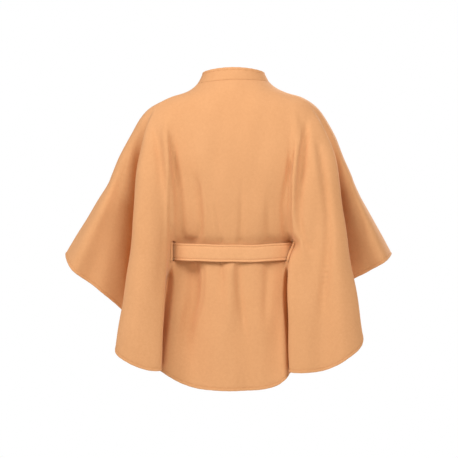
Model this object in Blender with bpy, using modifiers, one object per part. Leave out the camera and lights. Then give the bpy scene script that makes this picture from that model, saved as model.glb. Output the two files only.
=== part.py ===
"""A belted poncho cape of thick wool cloth, filled out as it is worn.

The wearer faces -Y, the wearer's left is +X and up is +Z. The origin is the
middle of the neck opening, level with the points where the neck meets the
shoulders, because the shoulders carry the cape.

The cloth is one net of lines. Each line runs down the cloth from the collar to
the hem, along a ridge or a hollow, and the rows of the net run round the body
from one front edge, over the back, to the other front edge. The collar, the
two fronts and the back are parts of this net, so that their seams match.
"""

import math

import bmesh
import bpy
import numpy as np

# Driving sizes, in metres.
CLOTH = 0.0025
SEAM_GAP = 0.0003
MM = 0.001

# The belt, a squarish oval seen from above, and the slits that it passes through.
# Its outer end climbs over the inner one on the right front, in degrees of turn.
BELT_WIDTH = 0.042
BELT_CLOTH = 0.004
BELT_CLEAR = 0.0006
BELT_HALF_WIDTH = 0.172
BELT_BACK = 0.1068
BELT_FRONT = 0.1222
BELT_SQUARENESS = 2.5
BELT_END = 0.045
BELT_STEPS = 88
BELT_CLIMB_FROM = 220
BELT_CLIMB_OVER = 27
BELT_Z = -0.417
BELT_RISE = 0.005
SLIT_AT = 0.140
SLIT_LENGTH = 0.050

# Where the right front laps over the left one, it stands this far outside.
LAP_LIFT = 0.0068

# The narrow edging sewn to the outer lip of each slit.
EDGING_WIDTH = 0.007
EDGING_CLOTH = 0.0012

# Each ring round the neck and shoulders, in millimetres: its half width, its
# reach to the back and to the front, and its height at side, back and front.
RING_COLUMNS = ("half_width", "back", "front", "side_z", "back_z", "front_z")
RINGS = {
    "collar_top": (77, 60, 64, 33, 40, -12),
    "collar_mid": (82, 64, 68, 22, 25, -29),
    "neck_seam": (90, 68, 74, 10, 10, -46),
    "neck_base": (110, 80, 87, -6, -9, -64),
    "shoulder": (205, 103, 112, -48, -76, -104),
}
RING_SQUARENESS = {
    "collar_top": 2.0,
    "collar_mid": 2.0,
    "neck_seam": 2.0,
    "neck_base": 2.1,
    "shoulder": 2.5,
}

# How the filled-out cape leans: each ring's shift to the wearer's right, and how
# much lower it hangs at the wearer's left, in millimetres.
LEAN_COLUMNS = ("shift", "drop")
LEAN = {
    "collar_top": (4, 0),
    "collar_mid": (4, 2),
    "neck_seam": (3, 5),
    "neck_base": (2, 7),
    "shoulder": (0, 7),
}

# Each line down the cloth: its angle round the neck, from 0 at the overarm
# seam to 90 at the middle of the back or front, and its place at the chest, at
# the waist and at the hem, in millimetres. "side" counts away from the middle
# and "deep" towards the back, or towards the front for a front line.
LINE_COLUMNS = (
    "around",
    "chest_side",
    "chest_deep",
    "waist_side",
    "waist_deep",
    "hem_side",
    "hem_deep",
    "hem_z",
)
MIDDLE_BACK = {"middle": (90, 0, 118, 0, 104, 0, 150, -745)}
BACK_LEFT = {
    "crease": (82, 34, 118, 28, 100, 41, 146, -744),
    "swell": (72, 76, 116, 74, 91, 86, 124, -741),
    "hollow": (62, 110, 105, 96, 71, 122, 117, -730),
    "slit_in": (56, 138, 102, 139, 72, 160, 118, -709),
    "slit_out": (54, 144, 105, 147, 82, 177, 98, -700),
    "tuck": (52, 149, 109, 153, 90, 187, 90, -696),
    "edge": (48, 157, 113, 159, 107, 171, 154, -696),
    "dip": (43, 174, 106, 177, 123, 192, 165, -695),
    "side": (38, 194, 106, 202, 132, 217, 168, -689),
    "swing": (33, 214, 100, 228, 128, 251, 162, -675),
    "roll": (28, 226, 82, 244, 106, 282, 132, -653),
    "gully": (23, 220, 38, 232, 12, 256, 18, -582),
    "wing": (16, 244, 28, 284, 28, 334, 28, -505),
    "cuff": (8, 252, 15, 308, 22, 398, 17, -456),
    "arm": (0, 253, -8, 316, -18, 418, -25, -417),
}
BACK_RIGHT = {
    "crease": (82, 30, 118, 22, 100, 34, 146, -744),
    "swell": (72, 75, 117, 60, 99, 72, 150, -741),
    "hollow": (62, 130, 109, 116, 80, 108, 144, -732),
    "slit_in": (56, 138, 106, 136, 72, 132, 136, -715),
    "slit_out": (54, 142, 107, 142, 84, 142, 108, -704),
    "tuck": (52, 146, 110, 148, 93, 151, 100, -698),
    "edge": (48, 151, 114, 147, 106, 138, 152, -700),
    "dip": (43, 166, 106, 168, 122, 176, 165, -700),
    "side": (38, 198, 108, 204, 122, 225, 158, -693),
    "swing": (33, 224, 98, 250, 126, 272, 164, -669),
    "roll": (28, 248, 76, 278, 98, 317, 128, -628),
    "gully": (23, 240, 34, 258, 10, 284, 14, -498),
    "wing": (16, 253, 24, 292, 26, 335, 29, -463),
    "cuff": (8, 255, 12, 304, 18, 379, 16, -437),
    "arm": (0, 256, -7, 310, -18, 402, -25, -418),
}
FRONT = {
    "cuff": (8, 246, 26, 301, 40, 384, 46, -434),
    "wing": (16, 238, 44, 284, 58, 322, 64, -462),
    "gully": (24, 220, 62, 226, 84, 244, 92, -520),
    "roll": (31, 222, 86, 236, 118, 258, 142, -600),
    "side": (39, 192, 110, 198, 138, 220, 168, -652),
    "edge": (47, 160, 119, 153, 114, 164, 150, -668),
    "tuck": (51, 153, 118, 151, 100, 180, 116, -664),
    "slit_out": (53, 148, 118, 146, 90, 172, 121, -668),
    "slit_in": (55, 144, 118, 139, 80, 160, 130, -676),
    "hollow": (61, 124, 122, 104, 100, 124, 140, -696),
    "swell": (70, 84, 137, 62, 111, 80, 156, -706),
    "lap": (79, 40, 134, 39, 112, 44, 156, -712),
    "edge_front": (98, -30, 132, -36, 112, -38, 154, -716),
}
WAIST_SHARE = 0.555
CHEST_SHARE = 0.20
FULL_DROP = 0.53

# Just above the belt the cloth blouses: how far down from chest to waist that is,
# and what share of the belt's pull the cloth gives back there.
BLOUSE_AT = 0.78
BLOUSE_SHARE = 0.45

# The right back slit leans: its top is this far out and forward of its middle, in
# millimetres, and its foot as far in and back. The lines round it lean with it.
SLIT_LEAN = (8.5, -6.5)
LEANING = ("slit_in", "slit_out", "tuck", "edge")

# Lines whose cloth the belt holds, and lines lifted where the fronts lap.
HELD = (
    "middle",
    "crease",
    "swell",
    "hollow",
    "slit_in",
    "slit_out",
    "lap",
    "edge_front",
)
LAPPED = ("lap", "edge_front")

# How many steps the net takes from each line to the next one away from the
# middle, and down the cloth from each level to the next.
STEPS_BACK = {
    "middle": 1,
    "crease": 1,
    "swell": 2,
    "hollow": 1,
    "slit_in": 1,
    "slit_out": 1,
    "tuck": 2,
    "edge": 2,
    "dip": 2,
    "side": 2,
    "swing": 2,
    "roll": 3,
    "gully": 2,
    "wing": 2,
    "cuff": 2,
}
STEPS_FRONT = {
    "edge_front": 2,
    "lap": 1,
    "swell": 2,
    "hollow": 1,
    "slit_in": 1,
    "slit_out": 1,
    "tuck": 2,
    "edge": 2,
    "side": 3,
    "roll": 3,
    "gully": 2,
    "wing": 2,
    "cuff": 2,
}
LEVELS = (
    "collar_top",
    "collar_mid",
    "neck_seam",
    "neck_base",
    "shoulder",
    "chest",
    "blouse",
    "slit_top",
    "slit_foot",
    "hem",
)
STEPS_DOWN = (1, 2, 1, 3, 3, 4, 3, 3, 8)

WOOL = (0.87, 0.46, 0.21, 1.0)
WOOL_BELT = (0.86, 0.47, 0.22, 1.0)


def table(rows, columns):
    """The rows of a table as dictionaries with the columns' names."""
    return {name: dict(zip(columns, values)) for name, values in rows.items()}


def belt_height(side):
    """The height of the belt's middle, which rises a little to the sides."""
    return BELT_Z + BELT_RISE * min(1.0, (side / SLIT_AT) ** 2)


def ring_point(ring, angle, facing):
    """A point of a ring: facing is 1 for the back half and -1 for the front half."""
    size = table(RINGS, RING_COLUMNS)[ring]
    power = 2 / RING_SQUARENESS[ring]
    turn = math.radians(angle)
    across = math.copysign(abs(math.cos(turn)) ** power, math.cos(turn))
    forward = abs(math.sin(turn)) ** power
    half = "back" if facing > 0 else "front"
    height = size["side_z"] + (size[half + "_z"] - size["side_z"]) * math.sin(turn) ** 2
    return np.array([size["half_width"] * across, facing * size[half] * forward, height]) * MM


def leaned(levels):
    """A line's points with each ring's lean to the wearer's right and its drop at the left."""
    sizes = table(RINGS, RING_COLUMNS)
    for level, (ring, lean) in zip(levels, table(LEAN, LEAN_COLUMNS).items()):
        out = max(0.0, level[0] / (sizes[ring]["half_width"] * MM))
        level -= np.array([lean["shift"], 0.0, lean["drop"] * out]) * MM
    return levels


def line_levels(name, row, facing, lift, lean):
    """The points of one line at each level, from the collar's top down to the hem."""
    points = [ring_point(ring, row["around"], facing) for ring in RINGS]
    hem = np.array([row["hem_side"], facing * row["hem_deep"], row["hem_z"]]) * MM
    top = points[-1][2] / MM
    drop = row["hem_z"] - top
    chest_z, waist_z = top + CHEST_SHARE * drop, top + WAIST_SHARE * drop
    chest = np.array([row["chest_side"], facing * row["chest_deep"], chest_z]) * MM
    waist = np.array([row["waist_side"], facing * row["waist_deep"], waist_z]) * MM
    if name in HELD:
        waist[2] = belt_height(waist[0])
        half = np.array([0.0, 0.0, -SLIT_LENGTH / 2])
    else:
        half = (hem - chest) * (SLIT_LENGTH / 2 / FULL_DROP)
    half = half - np.array([*lean, 0.0]) * MM
    blouse = chest + BLOUSE_AT * (waist - chest)
    blouse[1] += facing * BLOUSE_SHARE * max(0.0, row["chest_deep"] - row["waist_deep"]) * MM
    points += [chest, blouse, waist - half, waist + half, hem]
    return np.array(points) + np.array([0.0, facing * lift, 0.0])


def smooth_through(points, steps):
    """Points on a smooth curve through the given ones, with so many steps between each two.

    points may hold many curves at once: its first axis runs along the curve.
    The curve is a centripetal Catmull-Rom spline, which neither loops nor kinks.
    """
    spans = np.maximum(np.linalg.norm(np.diff(points, axis=0), axis=-1, keepdims=True), 1e-6) ** 0.5
    slopes = np.diff(points, axis=0) / spans
    inner = (slopes[:-1] * spans[1:] + slopes[1:] * spans[:-1]) / (spans[:-1] + spans[1:])
    tangents = np.concatenate([slopes[:1], inner, slopes[-1:]])
    run = [points[:1]]
    for i, count in enumerate(steps):
        leave, arrive = spans[i] * tangents[i], spans[i] * tangents[i + 1]
        for k in range(1, count + 1):
            t = k / count
            blend = t * t * (3 - 2 * t)
            bend = (t**3 - 2 * t**2 + t) * leave + (t**3 - t**2) * arrive
            run.append(((1 - blend) * points[i] + blend * points[i + 1] + bend)[None])
    return np.concatenate(run)


def lines_round_the_body():
    """Every line of the net in order, from the left front's edge round to the right front's."""
    front = table(FRONT, LINE_COLUMNS)
    back = {1: table(BACK_LEFT, LINE_COLUMNS), -1: table(BACK_RIGHT, LINE_COLUMNS)}
    middle = table(MIDDLE_BACK, LINE_COLUMNS)
    halves = {}
    for hand in (1, -1):
        rows = [(name, front[name], -1) for name in reversed(front)]
        rows += [(name, back[hand][name], 1) for name in reversed(back[hand])]
        half = []
        for name, row, facing in rows:
            lift = LAP_LIFT if hand < 0 and facing < 0 and name in LAPPED else 0.0
            lean = SLIT_LEAN if hand < 0 and facing > 0 and name in LEANING else (0.0, 0.0)
            levels = line_levels(name, row, facing, lift, lean) * np.array([hand, 1, 1])
            half.append((name, facing, hand, leaned(levels)))
        halves[hand] = half
    levels = line_levels("middle", middle["middle"], 1, 0.0, (0.0, 0.0))
    centre = [("middle", 1, 0, leaned(levels))]
    return halves[1] + centre + halves[-1][::-1]


def steps_between(line, following):
    """The net's steps between two neighbouring lines, kept under the name of the one nearer the middle."""
    chosen = STEPS_BACK if line[1] > 0 and following[1] > 0 else STEPS_FRONT
    names = [n for n in (line[0], following[0]) if n in chosen]
    order = list(chosen)
    return chosen[min(names, key=order.index)]


class Net:
    """The whole cape's outer surface as rows by columns of points, with its normals."""

    def __init__(self):
        lines = lines_round_the_body()
        across = [steps_between(a, b) for a, b in zip(lines, lines[1:])]
        down = smooth_through(np.stack([levels for *_, levels in lines], axis=1), STEPS_DOWN)
        self.points = np.swapaxes(smooth_through(np.swapaxes(down, 0, 1), across), 0, 1)
        self.column = {}
        for index, (name, facing, hand, _) in enumerate(lines):
            self.column[name, facing, hand] = sum(across[:index])
        self.row = {level: sum(STEPS_DOWN[:i]) for i, level in enumerate(LEVELS)}
        self.normals = self.surface_normals()

    def surface_normals(self):
        """Unit normals that point out of the cape."""
        along = np.gradient(self.points, axis=1)
        downward = np.gradient(self.points, axis=0)
        normals = np.cross(downward, along)
        lengths = np.linalg.norm(normals, axis=-1, keepdims=True)
        return normals / np.maximum(lengths, 1e-12)


def wall(name, outer, inner, gone=()):
    """A closed wall between two skins of rows by columns of points, without the cells in gone."""
    rows, columns = outer.shape[:2]
    shape = bmesh.new()
    skins = [[[shape.verts.new(point) for point in row] for row in skin] for skin in (outer, inner)]
    cells = [(r, c) for r in range(rows - 1) for c in range(columns - 1) if (r, c) not in gone]
    for side, skin in enumerate(skins):
        for r, c in cells:
            corners = [(r, c), (r + 1, c), (r + 1, c + 1), (r, c + 1)]
            falling = np.linalg.norm(outer[r, c] - outer[r + 1, c + 1])
            rising = np.linalg.norm(outer[r + 1, c] - outer[r, c + 1])
            if falling < rising:
                triangles = [(0, 1, 2), (0, 2, 3)]
            else:
                triangles = [(0, 1, 3), (1, 2, 3)]
            for triangle in triangles:
                face = [skin[corners[k][0]][corners[k][1]] for k in triangle]
                shape.faces.new(face if side == 0 else face[::-1])
    partner = dict(zip([v for row in skins[0] for v in row], [v for row in skins[1] for v in row]))
    for edge in [e for e in shape.edges if e.is_boundary and e.verts[0] in partner]:
        loop = edge.link_loops[0]
        first, second = loop.vert, loop.link_loop_next.vert
        shape.faces.new((second, first, partner[first], partner[second]))
    bmesh.ops.delete(shape, geom=[v for v in shape.verts if not v.link_faces], context="VERTS")
    return cloth_object(name, shape)


def cloth_object(name, shape):
    """A smooth-shaded object of wool made from a bmesh, which is freed."""
    mesh = bpy.data.meshes.new(name)
    shape.to_mesh(mesh)
    shape.free()
    mesh.shade_smooth()
    mesh.materials.append(wool(WOOL_BELT if name == "belt" else WOOL))
    made = bpy.data.objects.new(name, mesh)
    bpy.data.collections["poncho_cape"].objects.link(made)
    return made


def wool(colour):
    """Thick, dull wool cloth of one colour."""
    name = "belt_wool" if colour == WOOL_BELT else "cape_wool"
    if name in bpy.data.materials:
        return bpy.data.materials[name]
    material = bpy.data.materials.new(name)
    material.use_nodes = True
    shader = material.node_tree.nodes["Principled BSDF"]
    shader.inputs["Base Color"].default_value = colour
    shader.inputs["Roughness"].default_value = 0.95
    shader.inputs["Metallic"].default_value = 0.0
    return material


def pulled_in(points, axis, ends):
    """The points with the named ends of an axis pulled in by half the seam's gap."""
    points = np.swapaxes(points.copy(), 0, axis)
    for end, neighbour in ((0, 1), (-1, -2)):
        if end in ends:
            step = points[neighbour] - points[end]
            points[end] += step / np.linalg.norm(step, axis=-1, keepdims=True) * SEAM_GAP / 2
    return np.swapaxes(points, 0, axis)


def panel(net, name, rows, columns, side_seams, top_seams, gone=()):
    """One piece of the cape, cut from the net between two rows and two columns."""
    (top, foot), (first, last) = rows, columns
    outer = net.points[top : foot + 1, first : last + 1]
    inner = outer - CLOTH * net.normals[top : foot + 1, first : last + 1]
    skins = [pulled_in(pulled_in(skin, 1, side_seams), 0, top_seams) for skin in (outer, inner)]
    return wall(name, *skins, gone={(r - top, c - first) for r, c in gone})


def slit_cells(net, facing, hand):
    """The cells of the net that a belt slit leaves open."""
    columns = sorted(net.column[name, facing, hand] for name in ("slit_in", "slit_out"))
    return [(r, columns[0]) for r in range(net.row["slit_top"], net.row["slit_foot"])]


def make_panels(net):
    """The back, the two fronts and the collar."""
    top, hem = net.row["neck_seam"], net.row["hem"]
    left, right = net.column["arm", 1, 1], net.column["arm", 1, -1]
    last = net.points.shape[1] - 1
    back_slits = slit_cells(net, 1, 1) + slit_cells(net, 1, -1)
    panel(net, "back", (top, hem), (left, right), (0, -1), (0,), back_slits)
    panel(net, "front_left", (top, hem), (0, left), (-1,), (0,), slit_cells(net, -1, 1))
    panel(net, "front_right", (top, hem), (right, last), (0,), (0,), slit_cells(net, -1, -1))
    panel(net, "collar", (0, top), (0, last), (), (-1,))


def make_edging(net, facing, hand):
    """The narrow strip sewn along the outer lip of one slit, on top of the cloth."""
    name = f"slit_edging_{'back' if facing > 0 else 'front'}_{'left' if hand > 0 else 'right'}"
    lip, beyond = net.column["slit_out", facing, hand], net.column["tuck", facing, hand]
    rows = slice(net.row["slit_top"], net.row["slit_foot"] + 1)
    near, normal = net.points[rows, lip], net.normals[rows, lip]
    step = net.points[rows, beyond] - near
    far = near + step / np.linalg.norm(step, axis=-1, keepdims=True) * EDGING_WIDTH
    base = np.stack([near, far], axis=1)
    away = np.stack([normal, net.normals[rows, beyond]], axis=1)
    outer = base + (2 * SEAM_GAP + EDGING_CLOTH) * away
    inner = base + 2 * SEAM_GAP * away
    if beyond < lip:
        outer, inner = outer[:, ::-1], inner[:, ::-1]
    return wall(name, outer, inner)


def belt_route():
    """The belt's middle line seen from above, with its height, from its inner end to its outer end."""
    power = 2 / BELT_SQUARENESS
    end_turn = math.acos((BELT_END / BELT_HALF_WIDTH) ** (1 / power))
    start, finish = -math.pi + end_turn, math.pi * 2 - end_turn
    second_layer = BELT_CLOTH + BELT_CLEAR
    route = []
    for k in range(BELT_STEPS + 1):
        turn = start + (finish - start) * k / BELT_STEPS
        across = math.copysign(abs(math.cos(turn)) ** power, math.cos(turn))
        forward = math.copysign(abs(math.sin(turn)) ** power, math.sin(turn))
        climb = (math.degrees(turn) - BELT_CLIMB_FROM) / BELT_CLIMB_OVER
        climb = min(1.0, max(0.0, climb))
        depth = BELT_BACK if forward > 0 else BELT_FRONT + second_layer * climb * climb * (3 - 2 * climb)
        x, y = BELT_HALF_WIDTH * across, depth * forward
        route.append((x, y, belt_height(x)))
    return np.array(route)


def make_belt():
    """The belt, a straight strip on edge, thickened both ways from its middle line."""
    route = belt_route()
    strip = bmesh.new()
    half = BELT_WIDTH / 2
    edges = [[strip.verts.new(point + np.array([0, 0, up])) for point in route] for up in (half, -half)]
    for k in range(len(route) - 1):
        strip.faces.new((edges[0][k], edges[0][k + 1], edges[1][k + 1], edges[1][k]))
    belt = cloth_object("belt", strip)
    thick = belt.modifiers.new("belt_cloth", "SOLIDIFY")
    thick.thickness = BELT_CLOTH
    thick.offset = 0.0
    return belt


def main():
    for old in list(bpy.data.objects):
        bpy.data.objects.remove(old, do_unlink=True)
    collection = bpy.data.collections.new("poncho_cape")
    bpy.context.scene.collection.children.link(collection)
    net = Net()
    make_panels(net)
    make_belt()
    for facing in (1, -1):
        for hand in (1, -1):
            make_edging(net, facing, hand)


main()
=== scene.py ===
# %% [markdown]
# # A belted poncho cape of thick wool
#
# This lesson dresses a finished construction model of a poncho cape. The cape is
# cut from one thick felted wool cloth: a back, two fronts that lap at the centre,
# a small stand collar, and a flat belt that goes in and out of four waist slits.
# It is shown filled out, as it hangs when somebody wears it, and is seen from
# behind. The wearer faces -Y, the wearer's left is +X and up is +Z, and the
# origin is the middle of the neck opening. Everything is in metres.
#
# The construction model is loaded first. It fixes every size, so each piece that
# is made here stands where its plain solid stands.

# %% Load the frame
import math

import bmesh
import bpy
import numpy as np
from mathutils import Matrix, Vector


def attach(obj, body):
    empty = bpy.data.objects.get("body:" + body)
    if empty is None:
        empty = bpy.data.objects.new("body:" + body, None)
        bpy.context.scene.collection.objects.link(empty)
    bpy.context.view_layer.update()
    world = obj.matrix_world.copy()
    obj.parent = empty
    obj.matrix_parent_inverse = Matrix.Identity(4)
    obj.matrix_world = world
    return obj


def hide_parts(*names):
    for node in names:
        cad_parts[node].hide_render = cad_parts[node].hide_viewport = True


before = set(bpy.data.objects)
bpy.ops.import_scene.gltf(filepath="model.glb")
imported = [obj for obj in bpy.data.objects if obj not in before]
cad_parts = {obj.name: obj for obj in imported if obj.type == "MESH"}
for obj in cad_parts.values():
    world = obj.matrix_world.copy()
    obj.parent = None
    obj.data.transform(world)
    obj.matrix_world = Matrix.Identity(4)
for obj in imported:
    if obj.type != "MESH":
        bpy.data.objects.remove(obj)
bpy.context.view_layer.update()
BODY = "root"
MM = 0.001

# %% [markdown]
# ## The driving sizes
#
# These are the sizes that a pattern cutter would note down. The cloth is 2.5 mm
# thick. The belt is 42 mm wide and lies on a squarish oval round the waist, and
# each slit is just long enough for it.

# %% Sizes of the cape
CLOTH = 0.0025
SEAM_GAP = 0.0003
BELT_WIDTH = 0.042
BELT_CLOTH = 0.004
BELT_CLEAR = 0.0006
BELT_HALF_WIDTH = 0.172
BELT_BACK = 0.1068
BELT_FRONT = 0.1222
BELT_SQUARENESS = 2.5
BELT_END = 0.045
BELT_CLIMB_FROM = 220
BELT_CLIMB_OVER = 27
BELT_Z = -0.417
BELT_RISE = 0.005
SLIT_AT = 0.140
SLIT_LENGTH = 0.050
LAP_LIFT = 0.0068
EDGING_CUT = 0.010

# %% [markdown]
# ## Rings of the cloth
#
# A draped cape could come from a cloth simulation, but then nobody could say
# where a fold goes. Here the folds are placed one by one instead. The upper cape is
# a set of squarish ovals round the neck, and their last three columns say how
# square each one is, how far it is shifted to the wearer's right and how far it
# drops at the wearer's left, because a worn cape never hangs dead straight. The
# numbers in these tables are millimetres.

# %% Rings round the neck and shoulders
RING_COLUMNS = "half_width back front side_z back_z front_z squareness shift drop".split()
RINGS = {
    "collar_top": (77, 60, 64, 33, 40, -12, 2.0, 4, 0),
    "collar_mid": (82, 64, 68, 22, 25, -29, 2.0, 4, 2),
    "neck_seam": (90, 68, 74, 10, 10, -46, 2.0, 3, 5),
    "neck_base": (110, 80, 87, -6, -9, -64, 2.1, 2, 7),
    "shoulder": (205, 103, 112, -48, -76, -104, 2.5, 0, 7),
}
print(len(RINGS), "rings")

# %% [markdown]
# ## Lines down the cloth
#
# Below the shoulder ring the cloth hangs in lines, each along the ridge or the
# hollow of one fold. A line starts on the rings at its angle round the neck, in
# degrees, and three pairs of numbers, side and depth, place it at the chest, the
# waist and the hem. The left and the right half have tables of their own,
# because a worn cape hangs unevenly. The belt gathers the cloth, so the lines
# between the slits are held in at the waist and blouse a little above it.

# %% Tables of the lines
LINE_COLUMNS = "around chest_side chest_deep waist_side waist_deep hem_side hem_deep hem_z".split()
MIDDLE_BACK = {"middle": (90, 0, 118, 0, 104, 0, 150, -745)}
BACK_LEFT = {
    "crease": (82, 34, 118, 28, 100, 41, 146, -744),
    "swell": (72, 76, 116, 74, 91, 86, 124, -741),
    "hollow": (62, 110, 105, 96, 71, 122, 117, -730),
    "slit_in": (56, 138, 102, 139, 72, 160, 118, -709),
    "slit_out": (54, 144, 105, 147, 82, 177, 98, -700),
    "tuck": (52, 149, 109, 153, 90, 187, 90, -696),
    "edge": (48, 157, 113, 159, 107, 171, 154, -696),
    "dip": (43, 174, 106, 177, 123, 192, 165, -695),
    "side": (38, 194, 106, 202, 132, 217, 168, -689),
    "swing": (33, 214, 100, 228, 128, 251, 162, -675),
    "roll": (28, 226, 82, 244, 106, 282, 132, -653),
    "gully": (23, 220, 38, 232, 12, 256, 18, -582),
    "wing": (16, 244, 28, 284, 28, 334, 28, -505),
    "cuff": (8, 252, 15, 308, 22, 398, 17, -456),
    "arm": (0, 253, -8, 316, -18, 418, -25, -417),
}
BACK_RIGHT = {
    "crease": (82, 30, 118, 22, 100, 34, 146, -744),
    "swell": (72, 75, 117, 60, 99, 72, 150, -741),
    "hollow": (62, 130, 109, 116, 80, 108, 144, -732),
    "slit_in": (56, 138, 106, 136, 72, 132, 136, -715),
    "slit_out": (54, 142, 107, 142, 84, 142, 108, -704),
    "tuck": (52, 146, 110, 148, 93, 151, 100, -698),
    "edge": (48, 151, 114, 147, 106, 138, 152, -700),
    "dip": (43, 166, 106, 168, 122, 176, 165, -700),
    "side": (38, 198, 108, 204, 122, 225, 158, -693),
    "swing": (33, 224, 98, 250, 126, 272, 164, -669),
    "roll": (28, 248, 76, 278, 98, 317, 128, -628),
    "gully": (23, 240, 34, 258, 10, 284, 14, -498),
    "wing": (16, 253, 24, 292, 26, 335, 29, -463),
    "cuff": (8, 255, 12, 304, 18, 379, 16, -437),
    "arm": (0, 256, -7, 310, -18, 402, -25, -418),
}
FRONT = {
    "cuff": (8, 246, 26, 301, 40, 384, 46, -434),
    "wing": (16, 238, 44, 284, 58, 322, 64, -462),
    "gully": (24, 220, 62, 226, 84, 244, 92, -520),
    "roll": (31, 222, 86, 236, 118, 258, 142, -600),
    "side": (39, 192, 110, 198, 138, 220, 168, -652),
    "edge": (47, 160, 119, 153, 114, 164, 150, -668),
    "tuck": (51, 153, 118, 151, 100, 180, 116, -664),
    "slit_out": (53, 148, 118, 146, 90, 172, 121, -668),
    "slit_in": (55, 144, 118, 139, 80, 160, 130, -676),
    "hollow": (61, 124, 122, 104, 100, 124, 140, -696),
    "swell": (70, 84, 137, 62, 111, 80, 156, -706),
    "lap": (79, 40, 134, 39, 112, 44, 156, -712),
    "edge_front": (98, -30, 132, -36, 112, -38, 154, -716),
}
WAIST_SHARE = 0.555
CHEST_SHARE = 0.20
BLOUSE_AT = 0.78
BLOUSE_SHARE = 0.18
UPRIGHT = (0.0, 0.0)
SLIT_LEAN = (8.5, -6.5)
LEANING = ("slit_in", "slit_out", "tuck", "edge")
FULL_DROP = 0.53
HELD = ("middle", "crease", "swell", "hollow", "slit_in", "slit_out", "lap", "edge_front")
LAPPED = ("lap", "edge_front")
LEVELS = (*RINGS, "chest", "blouse", "slit_top", "slit_foot", "hem")
print(len(BACK_LEFT) + len(BACK_RIGHT) + 1, "lines on the back,", 2 * len(FRONT), "on the fronts")

# %% [markdown]
# ## From a table row to points in space
#
# One line is ten points, from the collar's top to the hem: one on each ring, then
# the chest, the blouse above the belt, both ends of the slits and the hem. The
# same steps are taken for both halves, and the right half is mirrored. Only the
# slit at the back of the right side leans, so its lines are shifted sideways and
# back at the slit's top, and the other way at its foot.

# %% Points of one line


def table(rows, columns):
    """The rows of a table as dictionaries with the columns' names."""
    return {name: dict(zip(columns, values)) for name, values in rows.items()}


def belt_height(side):
    """The height of the belt's middle, which rises a little to the sides."""
    return BELT_Z + BELT_RISE * min(1.0, (side / SLIT_AT) ** 2)


def ring_point(ring, angle, facing):
    """A point of a ring: facing is 1 for the back half and -1 for the front half."""
    size = table(RINGS, RING_COLUMNS)[ring]
    power = 2 / size["squareness"]
    turn = math.radians(angle)
    across = math.copysign(abs(math.cos(turn)) ** power, math.cos(turn))
    forward = abs(math.sin(turn)) ** power
    half = "back" if facing > 0 else "front"
    height = size["side_z"] + (size[half + "_z"] - size["side_z"]) * math.sin(turn) ** 2
    return np.array([size["half_width"] * across, facing * size[half] * forward, height]) * MM


def leaned(levels):
    """A line's points with each ring's shift to the wearer's right and its drop at the left."""
    for level, ring in zip(levels, table(RINGS, RING_COLUMNS).values()):
        out = max(0.0, level[0] / (ring["half_width"] * MM))
        level -= np.array([ring["shift"], 0.0, ring["drop"] * out]) * MM
    return levels


def line_levels(name, row, facing, lift, lean):
    """The points of one line at each level, from the collar's top down to the hem."""
    points = [ring_point(ring, row["around"], facing) for ring in RINGS]
    hem = np.array([row["hem_side"], facing * row["hem_deep"], row["hem_z"]]) * MM
    top = points[-1][2] / MM
    drop = row["hem_z"] - top
    chest_z, waist_z = top + CHEST_SHARE * drop, top + WAIST_SHARE * drop
    chest = np.array([row["chest_side"], facing * row["chest_deep"], chest_z]) * MM
    waist = np.array([row["waist_side"], facing * row["waist_deep"], waist_z]) * MM
    if name in HELD:
        waist[2] = belt_height(waist[0])
        half = np.array([0.0, 0.0, -SLIT_LENGTH / 2])
    else:
        half = (hem - chest) * (SLIT_LENGTH / 2 / FULL_DROP)
    half = half - np.array([*lean, 0.0]) * MM
    blouse = chest + BLOUSE_AT * (waist - chest)
    blouse[1] += facing * BLOUSE_SHARE * max(0.0, row["chest_deep"] - row["waist_deep"]) * MM
    points += [chest, blouse, waist - half, waist + half, hem]
    return np.array(points) + np.array([0.0, facing * lift, 0.0])


def lines_round_the_body():
    """Every line in order, from the left front's edge round the back to the right front's."""
    front = table(FRONT, LINE_COLUMNS)
    back = {1: table(BACK_LEFT, LINE_COLUMNS), -1: table(BACK_RIGHT, LINE_COLUMNS)}
    middle = table(MIDDLE_BACK, LINE_COLUMNS)["middle"]
    halves = {}
    for hand in (1, -1):
        rows = [(name, front[name], -1) for name in reversed(front)]
        rows += [(name, back[hand][name], 1) for name in reversed(back[hand])]
        halves[hand] = []
        for name, row, facing in rows:
            lift = LAP_LIFT if hand < 0 and facing < 0 and name in LAPPED else 0.0
            lean = SLIT_LEAN if hand < 0 and facing > 0 and name in LEANING else UPRIGHT
            levels = line_levels(name, row, facing, lift, lean) * np.array([hand, 1, 1])
            halves[hand].append((name, facing, hand, leaned(levels)))
    centre = [("middle", 1, 0, leaned(line_levels("middle", middle, 1, 0.0, UPRIGHT)))]
    return halves[1] + centre + halves[-1][::-1]


LINES = lines_round_the_body()
print(len(LINES), "lines round the body")

# %% [markdown]
# ## A fine net through the lines
#
# The surface is a centripetal Catmull-Rom spline in both directions, which
# passes through every point of the tables and never loops. The cells are a few
# millimetres wide. Next to a seam or a stitched edge the net needs rows at exact
# distances from it, so that the groove of the stitching has real form and not
# only a bump. `places` puts those rows in.

# %% Cells of the net
CELL_ACROSS = 0.0052
CELL_DOWN = 0.0068
SMALLEST, SHORTEST_SPAN = 1e-12, 1e-6
STITCH_IN = 0.0058
HEM_ROWS = (0.0012, 0.0028, 0.0045, STITCH_IN, 0.0071, 0.0090, 0.0125)
COLLAR_ROWS = (0.0012, 0.0026, 0.0042, STITCH_IN, 0.0072)
SEAM_ROWS = (0.0008, 0.0018, 0.0034, 0.0058)


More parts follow.
